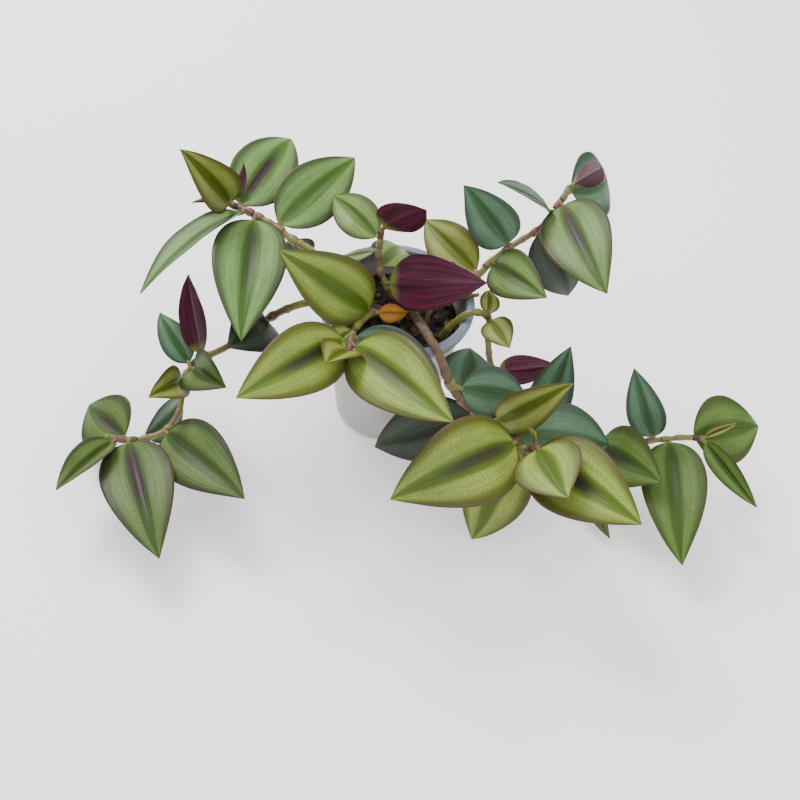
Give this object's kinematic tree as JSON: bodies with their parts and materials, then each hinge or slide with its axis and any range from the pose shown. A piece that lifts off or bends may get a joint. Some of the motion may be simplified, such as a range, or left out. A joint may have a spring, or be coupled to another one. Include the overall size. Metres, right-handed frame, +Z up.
{
  "type": "potted tradescantia",
  "caption": "Small trailing tradescantia with striped silver-green leaves, purple beneath, growing from a tapered nursery pot of dark soil.",
  "frame": {"origin": "centre of the pot's flat base, on the surface that it stands on", "axes": "+Z up, -Y towards the front, +X to the right"},
  "size_m": [0.2785, 0.1707, 0.122],
  "materials": {
    "pot": "translucent pale grey moulded plastic, satin",
    "soil": "damp dark potting mix, rough",
    "stem": "olive green stem with purple-brown joints, satin",
    "woody_stem": "ringed brown woody stem, rough",
    "leaf": "striped silver-green upper face and wine-purple underside, soft sheen"
  },
  "bodies": {
    "root": {"back_left_leaf_1": "leaf", "back_left_leaf_2": "leaf", "back_left_leaf_3": "leaf", "back_left_leaf_4": "leaf", "back_left_leaf_5": "leaf", "back_left_leaf_6": "leaf", "back_right_leaf_1": "leaf", "back_right_leaf_2": "leaf", "back_right_leaf_3": "leaf", "back_right_leaf_4": "leaf", "back_right_leaf_5": "leaf", "back_right_leaf_6": "leaf", "back_right_leaf_7": "leaf", "back_right_leaf_8": "leaf", "back_right_stem": "stem", "centre_leaf_1": "leaf", "centre_leaf_2": "leaf", "centre_leaf_3": "leaf", "centre_leaf_4": "leaf", "centre_leaf_5": "leaf", "centre_leaf_6": "leaf", "centre_stem": "stem", "front_leaf_1": "leaf", "front_leaf_2": "leaf", "front_leaf_3": "leaf", "front_leaf_4": "leaf", "front_leaf_5": "leaf", "front_leaf_6": "leaf", "front_leaf_7": "leaf", "front_leaf_8": "leaf", "front_leaf_9": "leaf", "front_left_leaf_1": "leaf", "front_left_leaf_2": "leaf", "front_left_leaf_3": "leaf", "front_left_leaf_4": "leaf", "front_left_leaf_5": "leaf", "front_left_leaf_6": "leaf", "front_left_stem": "stem", "front_stem": "woody_stem", "left_leaf_1": "leaf", "left_leaf_10": "leaf", "left_leaf_2": "leaf", "left_leaf_3": "leaf", "left_leaf_4": "leaf", "left_leaf_5": "leaf", "left_leaf_6": "leaf", "left_leaf_7": "leaf", "left_leaf_8": "leaf", "left_leaf_9": "leaf", "left_stem": "stem", "pot": "pot", "right_leaf_1": "leaf", "right_leaf_2": "leaf", "right_leaf_3": "leaf", "right_leaf_4": "leaf", "right_leaf_5": "leaf", "right_leaf_6": "leaf", "right_leaf_7": "leaf", "right_stem": "stem", "soil": "soil"}
  },
  "joints": []
}
